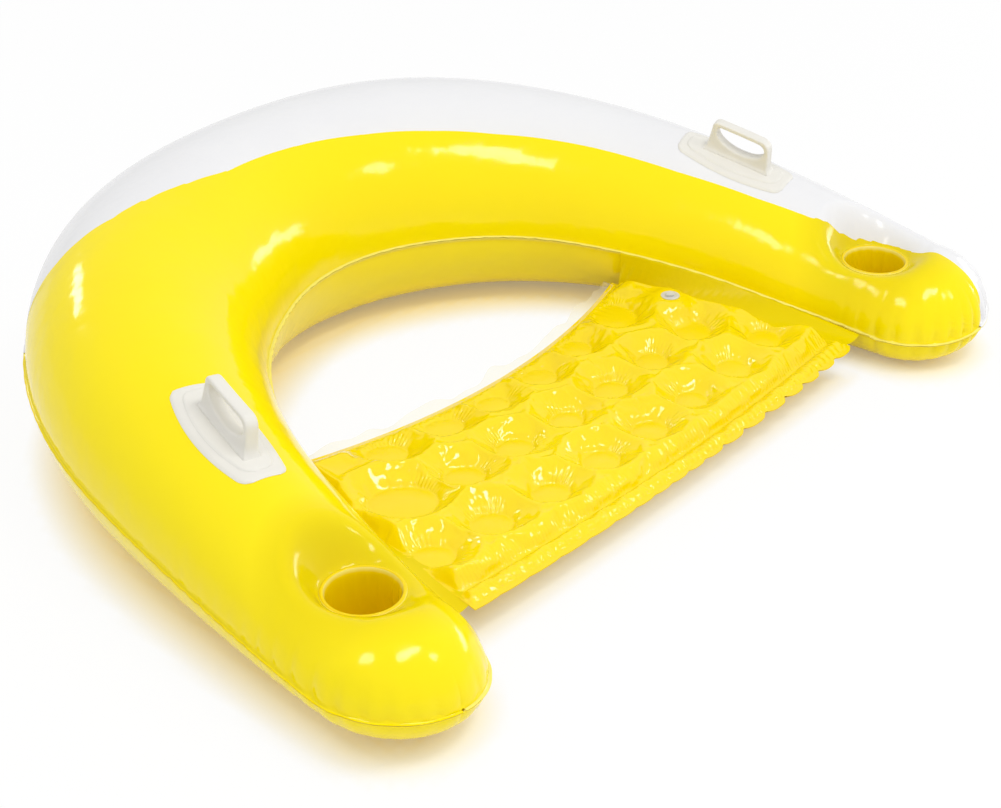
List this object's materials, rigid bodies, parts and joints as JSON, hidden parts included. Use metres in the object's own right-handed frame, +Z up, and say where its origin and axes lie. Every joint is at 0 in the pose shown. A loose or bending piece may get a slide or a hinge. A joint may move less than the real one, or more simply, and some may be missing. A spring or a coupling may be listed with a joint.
{
  "type": "inflatable pool chair",
  "caption": "Inflatable pool chair: horseshoe tube with a rising back, quilted seat mat, grab handles, cup holders and air valves.",
  "frame": {"origin": "middle of the bounding box on plan, at the level that the tube rests on", "axes": "+X from the left arm to the right arm as seen from the open front, +Y from the open front to the back, +Z up"},
  "size_m": [1.3104, 1.017, 0.3165],
  "materials": {
    "yellow_film": "glossy translucent yellow vinyl film",
    "white_film": "glossy white vinyl film",
    "clear_film": "glossy cloudy clear vinyl film",
    "cream_moulding": "satin cream soft moulding",
    "clear_moulding": "satin cloudy clear soft moulding"
  },
  "bodies": {
    "chair": {"tube_top_sheet": "yellow_film", "tube_bottom_sheet": "yellow_film", "tube_side_panel": "white_film", "cup_wall_left": "yellow_film", "cup_wall_right": "yellow_film", "cup_floor_left": "yellow_film", "cup_floor_right": "yellow_film", "handle_patch_left": "cream_moulding", "handle_patch_right": "cream_moulding", "handle_grip_left": "cream_moulding", "handle_grip_right": "cream_moulding", "seat_top_sheet": "yellow_film", "seat_bottom_sheet": "clear_film", "seat_band_left": "yellow_film", "seat_band_right": "yellow_film", "seat_valve_flange": "clear_moulding", "tube_valve_flange": "clear_moulding"},
    "seat_stem": {"seat_valve_stem": "clear_moulding"},
    "seat_plug": {"seat_valve_plug": "clear_moulding"},
    "seat_flap": {"seat_valve_flap": "clear_moulding"},
    "tube_stem": {"tube_valve_stem": "clear_moulding"},
    "tube_plug": {"tube_valve_plug": "clear_moulding"},
    "tube_flap": {"tube_valve_flap": "clear_moulding"}
  },
  "joints": [
    {"name": "seat_stem_slide", "type": "slide", "parent": "chair", "child": "seat_stem", "axis": [0, 0, 1], "range_m": [0, 0.01]},
    {"name": "seat_plug_hinge", "type": "hinge", "parent": "seat_stem", "child": "seat_plug", "pos_m": [0.30955, -0.13369, 0.08105], "axis": [0, -1, 0], "range_deg": [0, 120]},
    {"name": "seat_flap_hinge", "type": "hinge", "parent": "seat_stem", "child": "seat_flap", "pos_m": [0.3127, -0.13369, 0.0646], "axis": [0, 1, 0], "range_deg": [0, 60], "stiffness_Nm_per_rad": 0.00002, "springref_deg": -14.32},
    {"name": "tube_stem_slide", "type": "slide", "parent": "chair", "child": "tube_stem", "axis": [0, 0.8386, 0.5448], "range_m": [0, 0.01]},
    {"name": "tube_plug_hinge", "type": "hinge", "parent": "tube_stem", "child": "tube_plug", "pos_m": [0.00845, 0.47729, 0.25565], "axis": [0, 0.5448, -0.8386], "range_deg": [0, 120]},
    {"name": "tube_flap_hinge", "type": "hinge", "parent": "tube_stem", "child": "tube_flap", "pos_m": [0.0053, 0.4635, 0.24669], "axis": [0, -0.5448, 0.8386], "range_deg": [0, 60], "stiffness_Nm_per_rad": 0.00002, "springref_deg": -14.32}
  ]
}
